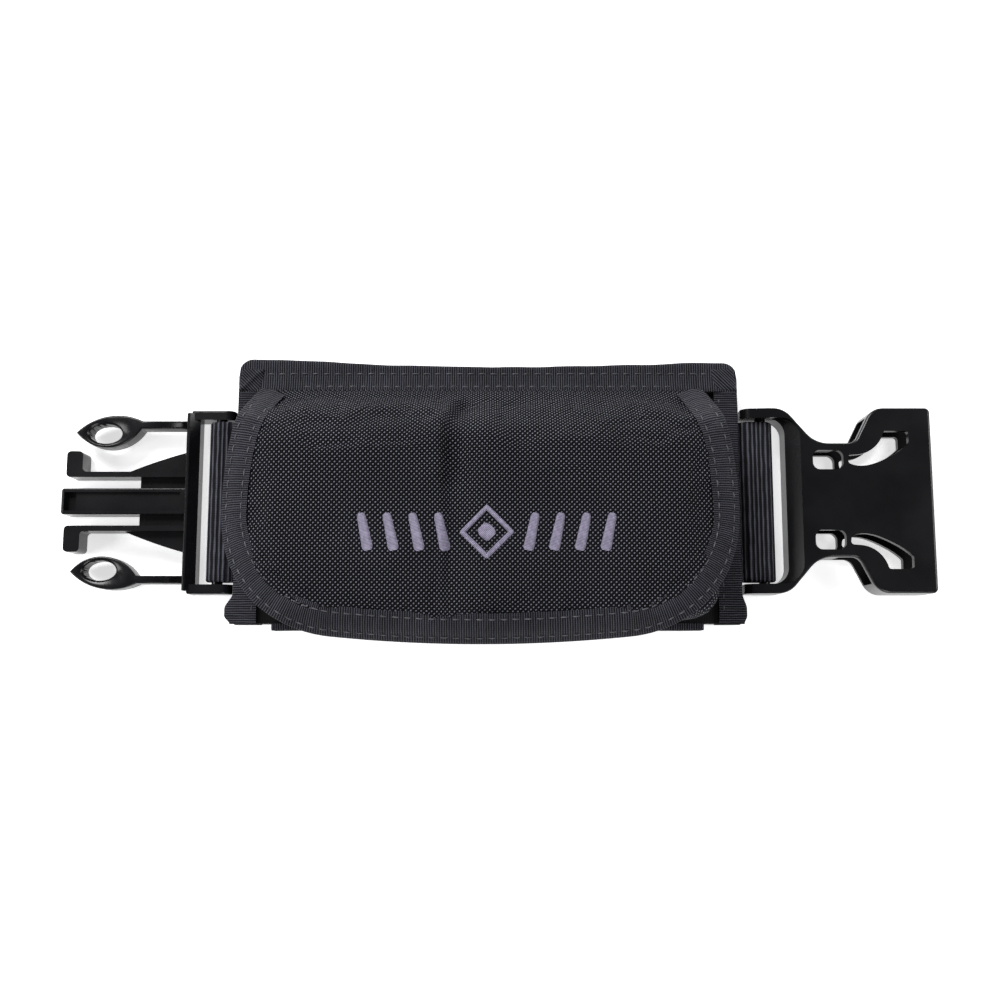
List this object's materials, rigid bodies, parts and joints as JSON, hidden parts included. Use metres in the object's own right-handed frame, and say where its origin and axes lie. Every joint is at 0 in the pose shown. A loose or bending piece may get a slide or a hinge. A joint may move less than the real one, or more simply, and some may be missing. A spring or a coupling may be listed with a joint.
{
  "type": "dive weight belt section",
  "caption": "Black webbing belt section with a flapped, weighted pocket and a side-release plug and socket at its ends.",
  "frame": {"origin": "middle of the back panel's outer face, which the belt lies on", "axes": "+X along the belt towards the socket, +Y towards the flap's fold, +Z out of the pocket's front"},
  "size_m": [0.2701, 0.0872, 0.0332],
  "materials": {
    "pocket_fabric": "coated basket-weave nylon",
    "binding_tape": "ribbed nylon binding tape",
    "nylon_webbing": "ribbed nylon webbing",
    "thread": "bonded nylon thread",
    "moulded_acetal": "moulded, satin",
    "cast_lead": "cast, dull",
    "foam": "closed-cell foam",
    "hook_and_loop": "hook-and-loop pile",
    "emblem_thread": "satin-stitch embroidery"
  },
  "bodies": {
    "pocket": {"back_panel": "pocket_fabric", "back_foam": "foam", "back_binding_left": "binding_tape", "back_binding_right": "binding_tape", "box_stitching": "thread", "belt_webbing": "nylon_webbing", "pouch_rear": "pocket_fabric", "pouch_front": "pocket_fabric", "side_binding_left": "binding_tape", "side_binding_right": "binding_tape", "top_binding": "binding_tape", "bottom_binding": "binding_tape", "flap_hem": "pocket_fabric", "tape_stitching": "thread", "loop_strip": "hook_and_loop"},
    "flap": {"flap_panel": "pocket_fabric", "flap_lining": "pocket_fabric", "flap_binding": "binding_tape", "flap_stitching": "thread", "hook_strip": "hook_and_loop", "flap_emblem": "emblem_thread"},
    "plug": {"plug_frame": "moulded_acetal"},
    "plug_arm_upper": {"plug_arm_upper": "moulded_acetal"},
    "plug_arm_lower": {"plug_arm_lower": "moulded_acetal"},
    "socket": {"socket_shell": "moulded_acetal"},
    "weight_left": {"weight_left": "cast_lead"},
    "weight_right": {"weight_right": "cast_lead"}
  },
  "joints": [
    {"name": "flap_hinge", "type": "hinge", "parent": "pocket", "child": "flap", "pos_m": [0, 0.0336, 0.0127], "axis": [-1, 0, 0], "range_deg": [0, 126]},
    {"name": "plug_pivot", "type": "hinge", "parent": "pocket", "child": "plug", "pos_m": [-0.0838, 0, 0.00575], "axis": [0, 1, 0], "range_deg": [-80, 80]},
    {"name": "socket_pivot", "type": "hinge", "parent": "pocket", "child": "socket", "pos_m": [0.0857, 0, 0.00575], "axis": [0, -1, 0], "range_deg": [-80, 80]},
    {"name": "arm_upper_squeeze", "type": "hinge", "parent": "plug", "child": "plug_arm_upper", "pos_m": [-0.09438, 0.0243, 0.0046], "axis": [0, 0, 1], "range_deg": [0, 6.5], "stiffness_Nm_per_rad": 0.3},
    {"name": "arm_lower_squeeze", "type": "hinge", "parent": "plug", "child": "plug_arm_lower", "pos_m": [-0.09438, -0.0243, 0.0046], "axis": [0, 0, -1], "range_deg": [0, 6.5], "stiffness_Nm_per_rad": 0.3},
    {"name": "weight_left_slide", "type": "slide", "parent": "pocket", "child": "weight_left", "axis": [0, 1, 0], "range_m": [0, 0.005]},
    {"name": "weight_right_slide", "type": "slide", "parent": "pocket", "child": "weight_right", "axis": [0, 1, 0], "range_m": [0, 0.005]}
  ]
}
